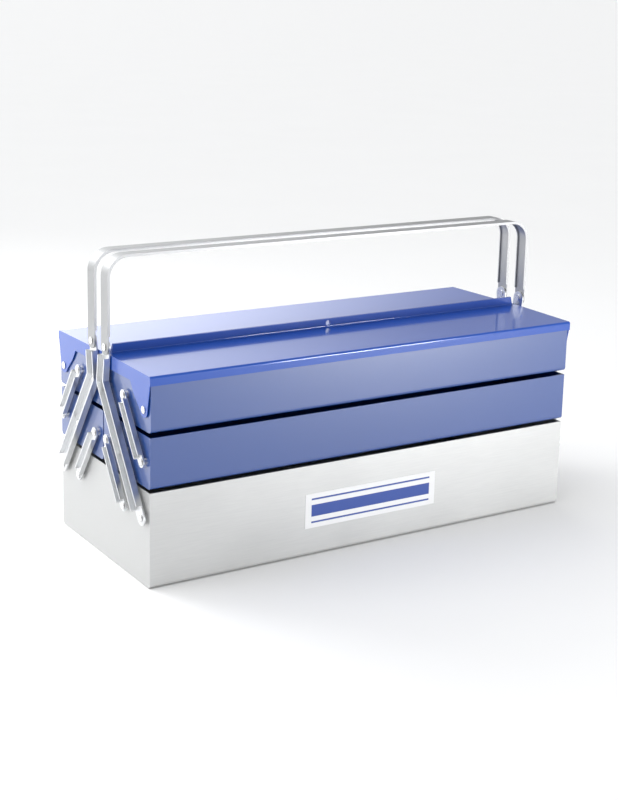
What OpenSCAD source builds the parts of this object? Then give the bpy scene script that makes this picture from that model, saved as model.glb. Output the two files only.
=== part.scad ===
// Cantilever toolbox: a bottom box, two tiers of trays that spread to the front and to the back on
// parallel links, a hinged lid over each upper tray, and two bail handles on top of the long arms.
// X runs along the box, Y from front to back and Z up. The origin is the centre of the base.

/* [Box] */
// Length of the bottom box over its end plates
box_len = 560; // [440:5:700]
// Depth of the bottom box, front to back
box_depth = 226; // [200:2:280]
// Height of the bottom box
box_height = 105; // [84:1:150]
// Thickness of the sheet that the box, trays and lids are folded from
sheet = 1; // [0.8:0.1:1.4]
// Height of the folded hem inside each rim
hem_height = 8; // [5:0.5:12]
// Radius of the long folds under the box and the trays
fold_r = 4; // [3:0.5:6]
// Width of the tabs that join the end plates to the box
tab_width = 12; // [8:1:20]

/* [Trays] */
// Height of a middle tray
mid_height = 56; // [45:1:66]
// Height of an upper tray's outer wall
upper_height = 56; // [50:1:68]
// How much lower an upper tray's inner wall is
inner_drop = 10; // [9:0.5:14]
// Gap between the box rim and the middle trays
box_gap = 4; // [3:0.5:8]
// Gap between the middle trays and the upper trays
tray_gap = 5; // [4:0.5:8]
// Gap between the front trays and the rear trays
centre_gap = 2; // [1:0.5:4]
// How far each tier stands proud of the one below it
tier_step = 1; // [0.5:0.5:2]

/* [Lids] */
// Gap between an upper tray's rim and the lid
lid_gap = 4; // [3:0.5:6]
// How much higher a lid is at its inner edge than at its outer edge
lid_crown = 1.5; // [0:0.5:4]
// Height of the skirt along a lid's outer edge
skirt_height = 10; // [6:0.5:14]
// Gap between the skirt and the tray
skirt_gap = 1; // [0.8:0.1:2]
// Gap between a lid's end flap and the tray
flap_gap = 0.8; // [0.6:0.1:1]
// Height of a lid's end flap away from its hinge
flap_height = 14; // [10:1:18]
// How far forward of the centre the two lids meet
seam_forward = 12; // [0:0.5:16]
// Height of the upright flange along a lid's inner edge
flange_height = 10; // [8:0.5:14]
// Gap between the two upright flanges
flange_gap = 1; // [0.6:0.1:2]
// How far an upright flange stops short of the lid's end
flange_setback = 5; // [4:0.5:12]
// How much shorter an upright flange is along its top than along its foot
flange_slant = 3; // [0:0.5:8]
// Radius of the fold between a lid and its upright flange
flange_fold = 1.2; // [1:0.1:2]
// Radius of the fold between a lid and its skirt
skirt_fold = 2.5; // [1.5:0.1:4]
// Radius of the foot of an end flap, round its hinge
foot_r = 8.4; // [7:0.1:10]
// Width of an end flap's leg where it leaves the strip under the lid
leg_width = 47; // [38:1:60]
// Height of the cut corners of an end flap, at its inner edge
corner_cut = 3; // [1:0.5:5]
// Height of the shoulder of an end flap, at its outer edge
shoulder_cut = 5; // [2:0.5:8]
// Gap between the padlock hole and the fold under it
hole_lift = 0.3; // [0.2:0.1:2]
// Radius of the padlock hole through both flanges
padlock_r = 3.25; // [2.5:0.25:4]

/* [Linkage] */
// Distance from the box's outer face to its outermost rivets
rivet_inset = 12; // [11:0.5:16]
// Distance from the box rim down to its rivets
rivet_drop = 29; // [20:0.5:32]
// Distance from the centre plane to the innermost rivets
centre_row = 15; // [14:0.5:20]
// Gap between an end wall and the links that swing beside it
link_gap = 3; // [2.6:0.1:5]
// Thickness of the links and arms
link_sheet = 1.6; // [1.2:0.1:2]
// Width of a long arm
arm_width = 17; // [14:0.5:20]
// Depth of a long arm's channel
arm_depth = 7; // [5:0.5:9]
// Width of a short link
link_width = 12.5; // [11:0.5:16]
// Depth of a short link's channel
link_depth = 5.6; // [4:0.2:8]
// How much further an arm's flanges stop from its end rivets than half a handle's width
arm_eye = 5; // [4:0.5:7]
// How much further a link's flanges stop from its rivets than half its width
link_eye = 1.6; // [1.4:0.1:4]
// Distance from the arm's upper tray rivet to its bend
bend_past = 5; // [2:0.5:8]
// Radius of the rivets' shanks
rivet_r = 2.5; // [2:0.1:3]
// Radius of the rivets' heads and shoulders
head_r = 4.2; // [3.6:0.1:4.8]
// Height of a rivet's domed head
head_height = 1.6; // [1:0.1:2.2]
// Radial clearance between a rivet and what turns on it
pin_clearance = 0.06; // [0.02:0.01:0.1]
// Side play between a rivet's head or shoulder and what turns on it
side_play = 0.3; // [0.3:0.05:0.6]
// Distance from an upper tray's outer face to its lid's hinge
hinge_inset = 13; // [11:0.5:18]
// Height of a lid's hinge above the upper tray's floor
hinge_rise = 23; // [18:0.5:26]

/* [Handles] */
// Height of a handle over its rivets
handle_height = 100; // [80:1:120]
// Width of a handle's channel
handle_width = 17; // [14:0.5:20]
// Thickness of a handle's sheet
handle_sheet = 1.5; // [1.2:0.1:2]
// Outer radius of a handle's corners
handle_bend = 24; // [14:1:36]
// Distance from the centre plane to a handle's rivets
handle_row = 17; // [15:0.5:22]
// How much further a handle's flanges stop from its rivets than half its width
handle_eye = 4; // [3:0.5:8]
// Gap between a handle's flanges and the ends of the lids
handle_gap = 1.6; // [0.3:0.1:2]
// Gap between a folded handle and the lid
fold_gap = 1.5; // [1:0.1:3]

/* [Label] */
// Length of the label on the front
label_len = 178; // [100:1:220]
// Height of the label
label_height = 40; // [24:1:60]
// Height of the label's lower edge above the base
label_rise = 32; // [10:1:40]
// Thickness of the label
label_thick = 0.4; // [0.3:0.1:1]

/* [Hidden] */
$fn = 48;
ARC_STEPS = 6;
// How far a cutting shape runs past what it cuts
CUT = 1;
// How much an inner wall's hem lies below its rim, so that the slanted rim covers it
HEM_STEP = 1;
// Height of the foot that is left where an upright flange is cut away
FLANGE_FOOT = 0.2;
// Share of a rivet head's height that its upright rim takes
RIM_SHARE = 0.35;

FRONT = 1;
REAR = -1;
RIGHT = 1;
LEFT = -1;

// Faces of the end walls and of each tier
end_x = box_len / 2;
box_y = box_depth / 2;
mid_y = box_y + tier_step;
upper_y = mid_y + tier_step;

// Heights of each tier
mid_z = box_height + box_gap;
mid_top = mid_z + mid_height;
upper_z = mid_top + tray_gap;
upper_top = upper_z + upper_height;

// Links: each tier repeats the same parallelogram, so both tiers rise and spread alike
link_rise = upper_z - mid_z;
outer_row = box_y - rivet_inset;
link_run = (outer_row - centre_row) / 2;
middle_row = centre_row + link_run;
box_row_z = box_height - rivet_drop;
mid_row_z = box_row_z + link_rise;
upper_row_z = mid_row_z + link_rise;
lean = atan2(link_run, link_rise);
link_len = norm([link_run, link_rise]);

// Lids
lid_y = upper_y + skirt_gap + sheet;
lid_end_x = end_x + flap_gap + sheet;
lid_outer_z = upper_top + lid_gap + sheet;
lid_inner_z = lid_outer_z + lid_crown;
hinge_y = upper_y - hinge_inset;
hinge_z = upper_z + hinge_rise;

// Layers outward from an end wall
web_x = end_x + link_gap;
web_out = web_x + link_sheet;
plate_x = web_out + side_play;
plate_out = plate_x + handle_sheet;
handle_inner_x = lid_end_x + handle_gap;

// Handle rivets stand high enough for a folded handle to clear the lid
handle_z = lid_outer_z + handle_width / 2 + fold_gap;
handle_top = handle_z + handle_height;
// Clear length round each rivet, where a channel's flanges are cut away
arm_clear = handle_width / 2 + arm_eye;
link_clear = link_width / 2 + link_eye;

// ---- Folded sheet profiles -------------------------------------------------------------------

// Points of the arc that rounds the corner b between a and c
function rounded(a, b, c, r) =
    let (
        into = (b - a) / norm(b - a),
        away = (c - b) / norm(c - b),
        turn = cross(into, away) > 0 ? 1 : -1,
        angle = acos(into * away),
        start = b - into * r * tan(angle / 2),
        middle = start + turn * r * [-into[1], into[0]],
        spoke = start - middle
    )
    [for (i = [0:ARC_STEPS])
        let (s = turn * angle * i / ARC_STEPS)
        middle + [spoke[0] * cos(s) - spoke[1] * sin(s), spoke[0] * sin(s) + spoke[1] * cos(s)]];

// A path with each of its inner corners rounded to the radius in the list
function smooth(path, radii) =
    let (last = len(path) - 1)
    concat(
        [path[0]],
        [for (i = [1:last - 1]) each rounded(path[i - 1], path[i], path[i + 1], radii[i - 1])],
        [path[last]]
    );

// Unit normal on the left of a path at point i
function normal(path, i) =
    let (
        last = len(path) - 1,
        along = path[min(i + 1, last)] - path[max(i - 1, 0)]
    )
    [-along[1], along[0]] / norm(along);

// A sheet's cross-section: the path, and the same path one thickness to its left
module folded(path, thick) {
    last = len(path) - 1;
    polygon(concat(
        path,
        [for (i = [last:-1:0]) path[i] + thick * normal(path, i)]
    ));
}

// Extrudes a drawing of the Y and Z plane along X, centred on the middle of the box
module along_x(length) {
    rotate([90, 0, 90])
        linear_extrude(length, center = true)
            children();
}

// Extrudes a drawing of the Y and Z plane from one X towards the outside of an end
module layer(from, to, end) {
    mirror([end == LEFT ? 1 : 0, 0, 0])
        translate([from, 0, 0])
            rotate([90, 0, 90])
                linear_extrude(to - from)
                    children();
}

// The same shape on the front as drawn, or turned to the rear
module side(which) {
    mirror([0, which == REAR ? 1 : 0, 0])
        children();
}

// ---- Box -------------------------------------------------------------------------------------

// Front, floor and back in one sheet, with a hem folded inside each rim
module box_wrap() {
    outline = smooth(
        [[-box_y, box_height], [-box_y, 0], [box_y, 0], [box_y, box_height]], [fold_r, fold_r]
    );
    color("gainsboro")
        along_x(box_len - 2 * sheet) {
            folded(outline, sheet);
            for (s = [-1, 1])
                translate([s * (box_y - 1.5 * sheet), box_height - hem_height / 2])
                    square([sheet, hem_height], center = true);
        }
}

// Outline of a pan's end, with the folds at its lower corners
module pan_outline(y0, y1, z0, z1) {
    polygon(smooth([[y0, z1], [y0, z0], [y1, z0], [y1, z1]], [fold_r, fold_r]));
}

// End plate with tabs inside the front, the floor and the back
module box_end(end) {
    holes = [for (y = [outer_row, middle_row]) each [[-y, box_row_z], [y, box_row_z]]];
    color("gainsboro")
        difference() {
            union() {
                layer(end_x - sheet, end_x, end)
                    pan_outline(-box_y, box_y, 0, box_height);
                layer(end_x - sheet - tab_width, end_x - sheet, end)
                    difference() {
                        pan_outline(-box_y + sheet, box_y - sheet, sheet, box_height - hem_height);
                        pan_outline(-box_y + 2 * sheet, box_y - 2 * sheet, 2 * sheet, box_height);
                    }
            }
            rivet_holes(holes, end, rivet_r);
        }
}

module front_label() {
    color("white")
        translate([-label_len / 2, -box_y - label_thick, label_rise])
            cube([label_len, label_thick, label_height]);
}

// ---- Trays -----------------------------------------------------------------------------------

// Drills holes along X through the wall of one end, or of both when end is 0
module rivet_holes(places, end, r) {
    for (e = end == 0 ? [LEFT, RIGHT] : [end], p = places)
        translate([e * end_x, p[0], p[1]])
            rotate([0, 90, 0])
                cylinder(r = r, h = 4 * sheet, center = true);
}

// A pan from its outer face at -y to the gap at the centre, open on top; its end walls slant down
// by the drop towards the centre
module tray_pan(outer, floor_z, height, drop) {
    top = floor_z + height;
    inner = -centre_gap / 2;
    slant_y = -seam_forward - flange_gap;
    hem_step = drop > 0 ? HEM_STEP : 0;
    difference() {
        along_x(box_len)
            pan_outline(-outer, inner, floor_z, top);
        along_x(box_len - 2 * sheet)
            pan_outline(-outer + sheet, inner - sheet, floor_z + sheet, top + CUT);
        if (drop > 0)
            along_x(box_len + 2 * CUT)
                polygon([
                    [slant_y, top], [inner, top - drop], [inner + CUT, top - drop],
                    [inner + CUT, top + CUT], [slant_y, top + CUT]
                ]);
    }
    // hem along the outer wall and along the inner wall
    for (hem = [[-outer + sheet, top], [inner - 2 * sheet, top - drop - hem_step]])
        translate([-end_x + sheet, hem[0], hem[1] - hem_height])
            cube([box_len - 2 * sheet, sheet, hem_height]);
}

module middle_tray(which) {
    color("royalblue")
        side(which)
            difference() {
                tray_pan(mid_y, mid_z, mid_height, 0);
                rivet_holes(
                    [for (y = [outer_row, middle_row, centre_row]) [-y, mid_row_z]], 0, rivet_r
                );
            }
}

module upper_tray(which) {
    color("royalblue")
        side(which)
            difference() {
                tray_pan(upper_y, upper_z, upper_height, inner_drop);
                rivet_holes([for (y = [middle_row, centre_row]) [-y, upper_row_z]], 0, rivet_r);
                rivet_holes([[-hinge_y, hinge_z]], 0, rivet_r);
            }
}

// ---- Lids ------------------------------------------------------------------------------------

// Skirt, top and upright flange in one sheet, from the outer face at -y to the inner edge
module lid_profile(inner) {
    folded(
        smooth([
            [inner, lid_inner_z + flange_height], [inner, lid_inner_z],
            [-lid_y, lid_outer_z], [-lid_y, lid_outer_z - skirt_height]
        ], [flange_fold, skirt_fold]),
        sheet
    );
}

// End flap: a strip under the lid's edge and a tapered leg down to the hinge
module flap_outline(inner) {
    strip_z = lid_outer_z - flap_height;
    leg_y = leg_width - lid_y;
    difference() {
        union() {
            polygon([
                [inner - sheet, lid_inner_z - sheet],
                [inner - sheet, strip_z + corner_cut],
                [inner - 3 * sheet, strip_z],
                [leg_y, strip_z],
                [leg_y - foot_r, (strip_z + hinge_z) / 2],
                [-hinge_y + foot_r * cos(20), hinge_z - foot_r * sin(20)],
                [-hinge_y - foot_r, hinge_z],
                [-lid_y + sheet, strip_z + shoulder_cut],
                [-lid_y + sheet, lid_outer_z - sheet]
            ]);
            translate([-hinge_y, hinge_z])
                circle(foot_r);
        }
        translate([-hinge_y, hinge_z])
            circle(rivet_r + pin_clearance);
    }
}

// Y of a lid's inner edge, counted from the centre with the lid's own outer edge at -y
function lid_edge(which) =
    -flange_gap / 2 - sheet - (which == FRONT ? seam_forward : -seam_forward);

module lid(which) {
    inner = lid_edge(which);
    hole_z = lid_inner_z + flange_fold + hole_lift + padlock_r;
    color("royalblue")
        side(which)
            difference() {
                along_x(2 * lid_end_x)
                    lid_profile(inner);
                // the flange stops short of the ends with a slanted edge
                for (end = [LEFT, RIGHT])
                    mirror([end == LEFT ? 1 : 0, 0, 0])
                        translate([lid_end_x, inner + sheet + CUT, lid_inner_z + FLANGE_FOOT])
                            rotate([90, 0, 0])
                                linear_extrude(3 * sheet + 2 * CUT)
                                    polygon([
                                        [CUT, 0], [-flange_setback, 0],
                                        [-flange_setback - flange_slant, flange_height + CUT],
                                        [CUT, flange_height + CUT]
                                    ]);
                translate([0, inner + sheet / 2, hole_z])
                    rotate([90, 0, 0])
                        cylinder(r = padlock_r, h = 4 * sheet, center = true);
            }
}

// Both end flaps of a lid, welded under its top and its skirt
module lid_ends(which) {
    inner = lid_edge(which);
    color("royalblue")
        side(which)
            for (end = [LEFT, RIGHT])
                layer(lid_end_x - sheet, lid_end_x, end)
                    difference() {
                        flap_outline(inner);
                        lid_profile(inner);
                    }
}

// ---- Linkage ---------------------------------------------------------------------------------

// A bar of the given width with round ends, from one point to another
module bar(from, to, width) {
    way = to - from;
    translate(from)
        rotate(atan2(way[1], way[0])) {
            translate([0, -width / 2])
                square([norm(way), width]);
            circle(width / 2);
            translate([norm(way), 0])
                circle(width / 2);
        }
}

// A short channel link between two rivets, its flanges turned outward and cut back at the ends
module link(foot, end) {
    head = foot + [link_run, link_rise];
    way = (head - foot) / link_len;
    color("silver")
        difference() {
            union() {
                layer(web_x, web_out, end)
                    bar(foot, head, link_width);
                layer(web_out, web_x + link_depth, end)
                    difference() {
                        bar(foot + way * link_clear, head - way * link_clear, link_width);
                        bar(foot, head, link_width - 2 * link_sheet);
                        for (p = [foot, head])
                            translate(p)
                                circle(link_clear);
                    }
            }
            running_holes([foot, head], end);
        }
}

// Running holes through a link or an arm
module running_holes(places, end) {
    layer(web_x - CUT, web_x + arm_depth, end)
        for (p = places)
            translate(p)
                circle(rivet_r + pin_clearance);
}

// A long arm: straight through its three rivets, then bent upright to the handle's rivet
module arm(which, end) {
    foot = [-outer_row, box_row_z];
    middle = [-middle_row, mid_row_z];
    top = [-centre_row, upper_row_z];
    bend = top + bend_past * [sin(lean), cos(lean)];
    head = [-handle_row, handle_z];
    color("silver")
        side(which)
            difference() {
                union() {
                    layer(web_x, web_out, end) {
                        bar(foot, bend, arm_width);
                        bar(bend, head, arm_width);
                    }
                    layer(web_out, web_x + arm_depth, end)
                        difference() {
                            union() {
                                bar(foot, bend, arm_width);
                                bar(bend, head, arm_width);
                            }
                            bar(foot, bend, arm_width - 2 * link_sheet);
                            bar(bend, head, arm_width - 2 * link_sheet);
                            translate(foot)
                                circle(arm_clear);
                            translate(head)
                                circle(arm_clear);
                        }
                }
                running_holes([foot, middle, top], end);
                layer(web_x - CUT, web_out + CUT, end)
                    translate(head)
                        circle(rivet_r);
            }
}

module lower_link(which, end) {
    side(which)
        link([-middle_row, box_row_z], end);
}

module upper_link(which, end) {
    side(which)
        link([-outer_row, mid_row_z], end);
}

// ---- Handles ---------------------------------------------------------------------------------

// Channel across a handle: web on the outside, flanges inward; drawn as distance from the web's
// outer face and distance across
module handle_channel() {
    depth = plate_out - handle_inner_x;
    difference() {
        translate([-depth, -handle_width / 2])
            square([depth, handle_width]);
        translate([-depth - CUT, -handle_width / 2 + handle_sheet])
            square([depth - handle_sheet + CUT, handle_width - 2 * handle_sheet]);
    }
}

module handle(which) {
    corner_x = plate_out - handle_bend;
    corner_z = handle_top - handle_bend;
    eye = [-handle_row, handle_z];
    flange_z = handle_z + handle_width / 2 + handle_eye;
    color("lightgray")
        side(which)
            difference() {
                union() {
                    for (end = [LEFT, RIGHT]) {
                        // eye plate round the rivet
                        layer(plate_x, plate_out, end)
                            bar(eye, [-handle_row, flange_z], handle_width);
                        mirror([end == LEFT ? 1 : 0, 0, 0]) {
                            translate([plate_out, -handle_row, flange_z])
                                linear_extrude(corner_z - flange_z)
                                    handle_channel();
                            translate([corner_x, -handle_row, corner_z])
                                rotate([90, 0, 0])
                                    rotate_extrude(angle = 90)
                                        translate([handle_bend, 0])
                                            handle_channel();
                        }
                    }
                    translate([-corner_x, -handle_row, handle_top])
                        rotate([0, 90, 0])
                            linear_extrude(2 * corner_x)
                                rotate(180)
                                    handle_channel();
                }
                for (end = [LEFT, RIGHT])
                    layer(plate_x - CUT, plate_out + CUT, end)
                        translate(eye)
                            circle(rivet_r + pin_clearance);
            }
}

// ---- Rivets ----------------------------------------------------------------------------------

// A rivet along X: a flat tail inside the sheet, a shoulder beside it, the shank and a domed head
module rivet(from, tail, shoulder, reach) {
    crown = reach + side_play;
    dome = [for (i = [0:ARC_STEPS])
        let (a = 90 * i / ARC_STEPS)
        [head_r * cos(a), crown + head_height * (RIM_SHARE + (1 - RIM_SHARE) * sin(a))]];
    tail_top = -sheet_under(from);
    collar = shoulder > 0 ? head_r : rivet_r;
    translate([from, 0, 0])
        rotate([0, 90, 0])
            rotate_extrude()
                polygon(concat(
                    [
                        [0, tail_top - tail], [head_r, tail_top - tail], [head_r, tail_top],
                        [rivet_r, tail_top], [rivet_r, 0], [collar, 0], [collar, shoulder],
                        [rivet_r, shoulder], [rivet_r, crown], [head_r, crown]
                    ],
                    dome
                ));
}

// Thickness of the sheet that a rivet's tail grips: an end wall, or an arm's web
function sheet_under(from) = from > end_x ? link_sheet : sheet;

// Rivets at the given places in an end wall, holding a web of a link or an arm
module link_rivets(places) {
    color("silver")
        for (end = [LEFT, RIGHT], p = places)
            mirror([end == LEFT ? 1 : 0, 0, 0])
                translate([0, p[0], p[1]])
                    rivet(end_x, sheet, link_gap - side_play, link_gap + link_sheet);
}

module box_rivets() {
    for (which = [FRONT, REAR])
        side(which)
            link_rivets([for (y = [outer_row, middle_row]) [-y, box_row_z]]);
}

module middle_rivets(which) {
    side(which)
        link_rivets([for (y = [outer_row, middle_row, centre_row]) [-y, mid_row_z]]);
}

// Rivets of the links and arms, and the lid's hinge rivets
module upper_rivets(which) {
    side(which) {
        link_rivets([for (y = [middle_row, centre_row]) [-y, upper_row_z]]);
        color("silver")
            for (end = [LEFT, RIGHT])
                mirror([end == LEFT ? 1 : 0, 0, 0])
                    translate([0, -hinge_y, hinge_z])
                        rivet(end_x, sheet, flap_gap - side_play, flap_gap + sheet);
    }
}

module handle_rivets(which) {
    color("silver")
        side(which)
            for (end = [LEFT, RIGHT])
                mirror([end == LEFT ? 1 : 0, 0, 0])
                    translate([0, -handle_row, handle_z])
                        rivet(web_out, link_sheet / 2, 0, side_play + handle_sheet);
}

box_wrap();
box_end(LEFT);  // box_end_left
box_end(RIGHT);  // box_end_right
front_label();
middle_tray(FRONT);  // front_middle_tray
middle_tray(REAR);  // rear_middle_tray
upper_tray(FRONT);  // front_upper_tray
upper_tray(REAR);  // rear_upper_tray
lid(FRONT);  // front_lid
lid(REAR);  // rear_lid
lid_ends(FRONT);  // front_lid_ends
lid_ends(REAR);  // rear_lid_ends
arm(FRONT, LEFT);  // front_arm_left
arm(FRONT, RIGHT);  // front_arm_right
arm(REAR, LEFT);  // rear_arm_left
arm(REAR, RIGHT);  // rear_arm_right
lower_link(FRONT, LEFT);  // front_lower_link_left
lower_link(FRONT, RIGHT);  // front_lower_link_right
lower_link(REAR, LEFT);  // rear_lower_link_left
lower_link(REAR, RIGHT);  // rear_lower_link_right
upper_link(FRONT, LEFT);  // front_upper_link_left
upper_link(FRONT, RIGHT);  // front_upper_link_right
upper_link(REAR, LEFT);  // rear_upper_link_left
upper_link(REAR, RIGHT);  // rear_upper_link_right
handle(FRONT);  // front_handle
handle(REAR);  // rear_handle
box_rivets();
middle_rivets(FRONT);  // front_middle_rivets
middle_rivets(REAR);  // rear_middle_rivets
upper_rivets(FRONT);  // front_upper_rivets
upper_rivets(REAR);  // rear_upper_rivets
handle_rivets(FRONT);  // front_handle_rivets
handle_rivets(REAR);  // rear_handle_rivets
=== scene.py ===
"""The looks of a cantilever toolbox: a galvanised bottom box, blue enamelled trays and lids, and
bright zinc-plated links and handles, on a pale floor under soft studio light."""

import math

import bpy
from mathutils import Matrix, Vector


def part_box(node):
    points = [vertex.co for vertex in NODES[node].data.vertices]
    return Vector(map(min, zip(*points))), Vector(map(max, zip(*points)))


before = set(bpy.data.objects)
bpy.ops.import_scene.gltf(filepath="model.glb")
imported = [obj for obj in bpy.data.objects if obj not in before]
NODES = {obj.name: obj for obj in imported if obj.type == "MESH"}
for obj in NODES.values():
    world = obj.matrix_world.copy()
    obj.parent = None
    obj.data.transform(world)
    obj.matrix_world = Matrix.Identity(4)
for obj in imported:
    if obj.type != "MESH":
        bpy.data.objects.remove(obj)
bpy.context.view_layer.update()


# ---- Camera ----------------------------------------------------------------------------------

CAMERA_PLACE = Vector((-0.946, -1.457, 0.634))
CAMERA_YAW = 0.5668      # turned from +Y towards +X
CAMERA_PITCH = 0.2112    # tipped down
CAMERA_ROLL = 0.0238
CAMERA_LENS = 68.3       # millimetres on a sensor 36 mm along the long side
CAMERA_SHIFT = -0.125    # the view camera's fall, which keeps the uprights nearly parallel


def make_camera():
    data = bpy.data.cameras.new("camera")
    data.sensor_fit = "AUTO"
    data.sensor_width = 36
    data.lens = CAMERA_LENS
    data.shift_y = CAMERA_SHIFT
    data.clip_start = 0.05
    data.clip_end = 200
    camera = bpy.data.objects.new("camera", data)
    bpy.context.collection.objects.link(camera)
    forward = Vector((
        math.sin(CAMERA_YAW) * math.cos(CAMERA_PITCH),
        math.cos(CAMERA_YAW) * math.cos(CAMERA_PITCH),
        -math.sin(CAMERA_PITCH),
    ))
    level = Vector((math.cos(CAMERA_YAW), -math.sin(CAMERA_YAW), 0))
    upward = level.cross(forward)
    right = math.cos(CAMERA_ROLL) * level + math.sin(CAMERA_ROLL) * upward
    up = -math.sin(CAMERA_ROLL) * level + math.cos(CAMERA_ROLL) * upward
    turn = Matrix((right, up, -forward)).transposed()
    camera.matrix_world = Matrix.Translation(CAMERA_PLACE) @ turn.to_4x4()
    bpy.context.scene.camera = camera


# ---- Floor and light -------------------------------------------------------------------------

FLOOR_SIZE = 120.0
FLOOR_DROP = 0.0006      # below the box's underside
ROOM_GLOW = 0.50
WALL_GLOW = 2.7
WALL_EDGE = 0.75         # cosine of the angle from +Y at which the wall of light begins
WALL_FULL = 0.94         # and at which it is at its brightest


def make_floor():
    mesh = bpy.data.meshes.new("floor")
    half = FLOOR_SIZE / 2
    corners = [(-half, -half, 0), (half, -half, 0), (half, half, 0), (-half, half, 0)]
    mesh.from_pydata(corners, [], [(0, 1, 2, 3)])
    floor = bpy.data.objects.new("floor", mesh)
    bpy.context.collection.objects.link(floor)
    floor.location.z = -FLOOR_DROP
    mesh.materials.append(floor_paper())


def aim(light, place, target):
    bpy.context.collection.objects.link(light)
    light.location = place
    light.rotation_mode = "QUATERNION"
    light.rotation_quaternion = (Vector(target) - Vector(place)).to_track_quat("-Z", "Y")
    light.visible_camera = False


def add_softbox(name, place, target, size, glow, spread=180):
    """A rectangular light of a width and height in metres. A glow of 1 is as bright as white."""
    data = bpy.data.lights.new(name, "AREA")
    data.shape = "RECTANGLE"
    data.size, data.size_y = size
    data.spread = math.radians(spread)
    data.energy = glow * math.pi * size[0] * size[1]
    aim(bpy.data.objects.new(name, data), place, target)


def make_world():
    """An even pale room, brighter towards a wall of soft light behind the toolbox."""
    world = bpy.data.worlds.new("studio")
    world.use_nodes = True
    tree = world.node_tree
    background = tree.nodes["Background"]
    background.inputs["Color"].default_value = (0.98, 0.99, 1.0, 1)
    direction = tree.nodes.new("ShaderNodeTexCoord").outputs["Generated"]
    towards = tree.nodes.new("ShaderNodeVectorMath")
    towards.operation = "DOT_PRODUCT"
    towards.inputs[1].default_value = (0, 1, 0)
    tree.links.new(direction, towards.inputs[0])
    fade = tree.nodes.new("ShaderNodeMapRange")
    fade.interpolation_type = "SMOOTHSTEP"
    fade.inputs["From Min"].default_value = WALL_EDGE
    fade.inputs["From Max"].default_value = WALL_FULL
    fade.inputs["To Min"].default_value = ROOM_GLOW
    fade.inputs["To Max"].default_value = WALL_GLOW
    tree.links.new(towards.outputs["Value"], fade.inputs["Value"])
    tree.links.new(fade.outputs["Result"], background.inputs["Strength"])
    bpy.context.scene.world = world


def make_light():
    bpy.context.scene.view_settings.view_transform = "Standard"
    make_world()
    ceiling = bpy.data.lights.new("ceiling", "SUN")
    ceiling.energy = 1.35
    ceiling.angle = math.radians(70)
    aim(bpy.data.objects.new("ceiling", ceiling), (-0.8, 0.4, 2.2), (0, 0, 0))
    add_softbox("floor_back_left", (-0.9, 1.3, 1.1), (-0.65, 0.75, 0), (0.8, 0.8), 3.5, 120)
    add_softbox("left", (-1.9, 0.4, 0.8), (0, 0, 0.17), (1.2, 1.2), 2.2)
    add_softbox("front_right", (0.84, -1.42, 0.15), (0.05, 0, 0.15), (0.36, 0.26), 37)


# ---- Material building -----------------------------------------------------------------------

SOCKETS = {
    "specular": "Specular IOR Level",
    "coat": "Coat Weight",
    "coat_roughness": "Coat Roughness",
}


class Finish:
    """A node material, with short calls for the nodes that the finishes share."""

    def __init__(self, name):
        self.material = bpy.data.materials.new(name)
        self.material.use_nodes = True
        self.nodes = self.material.node_tree.nodes
        self.links = self.material.node_tree.links
        self.shader = self.nodes["Principled BSDF"]
        self.place = self.nodes.new("ShaderNodeTexCoord").outputs["Object"]

    def set(self, **values):
        for name, value in values.items():
            socket = self.shader.inputs[SOCKETS.get(name, name.capitalize())]
            socket.default_value = (*value, 1) if isinstance(value, tuple) else value

    def stretched(self, stretch):
        node = self.nodes.new("ShaderNodeMapping")
        node.inputs["Scale"].default_value = stretch
        self.links.new(self.place, node.inputs["Vector"])
        return node.outputs["Vector"]

    def noise(self, scale, detail=3.0, roughness=0.5, stretch=(1, 1, 1)):
        node = self.nodes.new("ShaderNodeTexNoise")
        node.inputs["Scale"].default_value = scale
        node.inputs["Detail"].default_value = detail
        node.inputs["Roughness"].default_value = roughness
        self.links.new(self.stretched(stretch), node.inputs["Vector"])
        return node.outputs["Fac"]

    def math(self, operation, a, b, c=0.0):
        node = self.nodes.new("ShaderNodeMath")
        node.operation = operation
        for socket, value in zip(node.inputs, (a, b, c)):
            self.feed(value, socket)
        return node.outputs["Value"]

    def feed(self, value, socket):
        if isinstance(value, bpy.types.NodeSocket):
            self.links.new(value, socket)
        else:
            socket.default_value = value

    def spread(self, value, low, high, start=0.3, end=0.7):
        """Maps a value between start and end onto the range from low to high."""
        node = self.nodes.new("ShaderNodeMapRange")
        node.inputs["From Min"].default_value = start
        node.inputs["From Max"].default_value = end
        node.inputs["To Min"].default_value = low
        node.inputs["To Max"].default_value = high
        self.links.new(value, node.inputs["Value"])
        return node.outputs["Result"]

    def mix(self, factor, a, b):
        node = self.nodes.new("ShaderNodeMix")
        node.data_type = "RGBA"
        self.feed(factor, node.inputs["Factor"])
        for name, value in (("A", a), ("B", b)):
            socket = next(s for s in node.inputs if s.name == name and s.type == "RGBA")
            self.feed(value if isinstance(value, bpy.types.NodeSocket) else (*value, 1), socket)
        return next(s for s in node.outputs if s.type == "RGBA")

    def bump(self, height, strength, distance):
        node = self.nodes.new("ShaderNodeBump")
        node.inputs["Strength"].default_value = strength
        node.inputs["Distance"].default_value = distance
        self.links.new(height, node.inputs["Height"])
        self.links.new(node.outputs["Normal"], self.shader.inputs["Normal"])

    def to(self, name, value):
        self.links.new(value, self.shader.inputs[name])

    def axis(self, which):
        node = self.nodes.new("ShaderNodeSeparateXYZ")
        self.links.new(self.place, node.inputs["Vector"])
        return node.outputs[which]


# ---- Finishes --------------------------------------------------------------------------------

def floor_paper():
    finish = Finish("floor_paper")
    finish.set(roughness=0.9)
    finish.to("Base Color", finish.mix(finish.noise(3), (0.92, 0.92, 0.92), (0.94, 0.94, 0.94)))
    return finish.material


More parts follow.
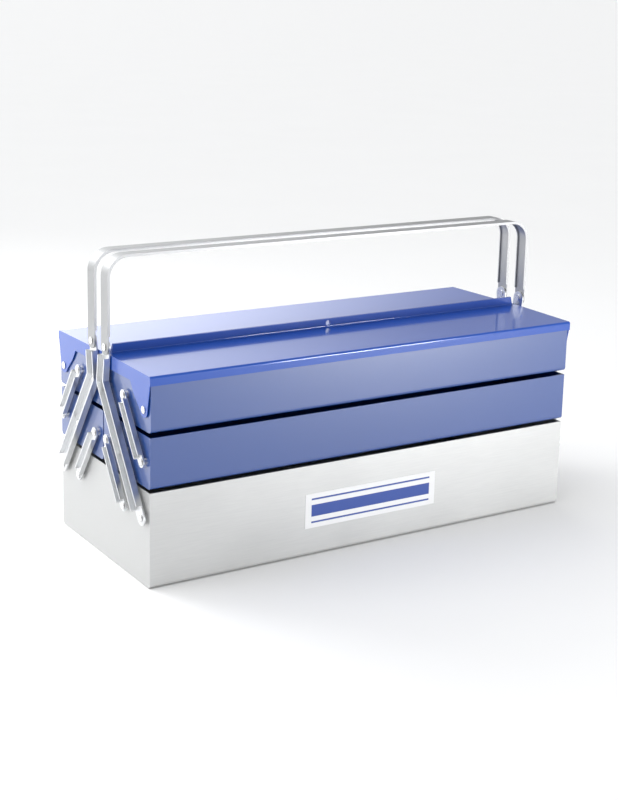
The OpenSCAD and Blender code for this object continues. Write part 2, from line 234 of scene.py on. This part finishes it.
def galvanised_sheet():
    """Zinc-coated sheet: fine grain along the sheet under a cloudy skin."""
    finish = Finish("galvanised_sheet")
    finish.set(metallic=0.55, specular=0.5)
    grain = finish.noise(900, 2, 0.6, (0.04, 1, 1))
    cloud = finish.noise(9, 3, 0.5)
    tone = finish.mix(cloud, (0.56, 0.565, 0.56), (0.61, 0.615, 0.61))
    finish.to("Base Color", finish.mix(finish.spread(grain, 0.0, 0.35), tone, (0.49, 0.495, 0.50)))
    finish.to("Roughness", finish.spread(cloud, 0.36, 0.48))
    finish.bump(grain, 0.06, 0.0002)
    return finish.material


def blue_enamel(name, deep, bright, roughness, specular):
    """Stoved blue enamel: a hazy blue coat under a clear glossy skin with a faint orange peel."""
    finish = Finish(name)
    finish.set(roughness=roughness, specular=specular, coat=0.8, coat_roughness=0.10)
    finish.to("Base Color", finish.mix(finish.noise(6, 2), deep, bright))
    finish.bump(finish.noise(420, 2), 0.04, 0.0003)
    return finish.material


def plated_steel(name, dull, bright, roughness):
    """Bright zinc plate over drawn strip: fine lines along the bars and a few dull clouds."""
    finish = Finish(name)
    finish.set(metallic=1.0)
    clouds = finish.noise(22, 3, 0.5)
    finish.to("Base Color", finish.mix(finish.spread(clouds, 0.0, 1.0), dull, bright))
    finish.to("Roughness", finish.spread(clouds, roughness, roughness + 0.06))
    finish.bump(finish.noise(500, 2, 0.5, (1, 1, 0.05)), 0.02, 0.0002)
    return finish.material


def bright_rivet():
    finish = Finish("bright_rivet")
    finish.set(metallic=1.0)
    wear = finish.noise(300, 3, 0.6)
    finish.to("Base Color", finish.mix(wear, (0.72, 0.72, 0.72), (0.90, 0.90, 0.90)))
    finish.to("Roughness", finish.spread(wear, 0.16, 0.30))
    return finish.material


# The print's edges, as shares of the label's height or length from its middle
BAND_EDGE = 0.17
LINE_INNER_EDGE = 0.31
LINE_OUTER_EDGE = 0.36
PRINT_END = 0.455


def label_film():
    """A white label printed with a plain blue band between two thin lines."""
    finish = Finish("label_film")
    low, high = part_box("front_label")
    wide, tall = high[0] - low[0], high[2] - low[2]
    height = finish.math("DIVIDE", finish.math("SUBTRACT", finish.axis("Z"), low[2]), tall)
    off_centre = finish.math("ABSOLUTE", finish.math("SUBTRACT", height, 0.5), 0.0)
    band = finish.math("LESS_THAN", off_centre, BAND_EDGE)
    outer = finish.math("LESS_THAN", off_centre, LINE_OUTER_EDGE)
    inner = finish.math("GREATER_THAN", off_centre, LINE_INNER_EDGE)
    lines = finish.math("MULTIPLY", outer, inner)
    along = finish.math("ABSOLUTE", finish.math("DIVIDE", finish.axis("X"), wide), 0.0)
    inside = finish.math("LESS_THAN", along, PRINT_END)
    print_here = finish.math("MULTIPLY", finish.math("MAXIMUM", band, lines), inside)
    finish.set(roughness=0.35)
    paper = finish.mix(finish.noise(60), (0.84, 0.85, 0.86), (0.88, 0.88, 0.89))
    ink = finish.mix(finish.noise(900), (0.030, 0.075, 0.33), (0.040, 0.090, 0.38))
    finish.to("Base Color", finish.mix(print_here, paper, ink))
    return finish.material


# ---- Dressing the nodes ----------------------------------------------------------------------

BEVEL_STEPS = 2
BEVEL_ANGLE = 35         # degrees; flatter edges stay as they are
SHEET_EDGE = 0.00045     # radius of eased edges, in metres
STRIP_EDGE = 0.0004
HANDLE_EDGE = 0.0005


def dress(names, material, edge=0.0):
    """Gives nodes a finish, and eases their edges by the given radius in metres."""
    for name in names:
        node = NODES[name]
        node.data.materials.clear()
        node.data.materials.append(material)
        if edge:
            bevel = node.modifiers.new("eased_edges", "BEVEL")
            bevel.width = edge
            bevel.segments = BEVEL_STEPS
            bevel.limit_method = "ANGLE"
            bevel.angle_limit = math.radians(BEVEL_ANGLE)
            bevel.harden_normals = True


def named(*parts):
    return [name for name in NODES if any(part in name for part in parts)]


def dress_all():
    # The lids' blue is a brighter copy of the trays' enamel blue: painted light standing in for the
    # light that the lids catch.
    lid_blue_painted_lighter = blue_enamel(
        "blue_enamel_lid_painted_lighter", (0.006, 0.072, 0.43), (0.008, 0.080, 0.46), roughness=0.34, specular=0.3
    )
    tray_blue = blue_enamel(
        "blue_enamel_tray", (0.007, 0.055, 0.26), (0.009, 0.062, 0.29), roughness=0.32, specular=0.9
    )
    link_plate = plated_steel("link_plate", (0.70, 0.71, 0.72), (0.78, 0.79, 0.80), 0.28)
    handle_plate = plated_steel("handle_plate", (0.38, 0.385, 0.39), (0.44, 0.445, 0.45), 0.46)
    dress(["box_wrap", "box_end_left", "box_end_right"], galvanised_sheet(), STRIP_EDGE)
    dress(named("_lid"), lid_blue_painted_lighter, SHEET_EDGE)
    dress(named("_tray"), tray_blue, SHEET_EDGE)
    dress(named("_arm_", "_link_"), link_plate, STRIP_EDGE)
    dress(["front_handle", "rear_handle"], handle_plate, HANDLE_EDGE)
    dress(named("_rivets"), bright_rivet())
    dress(["front_label"], label_film())


make_camera()
make_floor()
make_light()
dress_all()
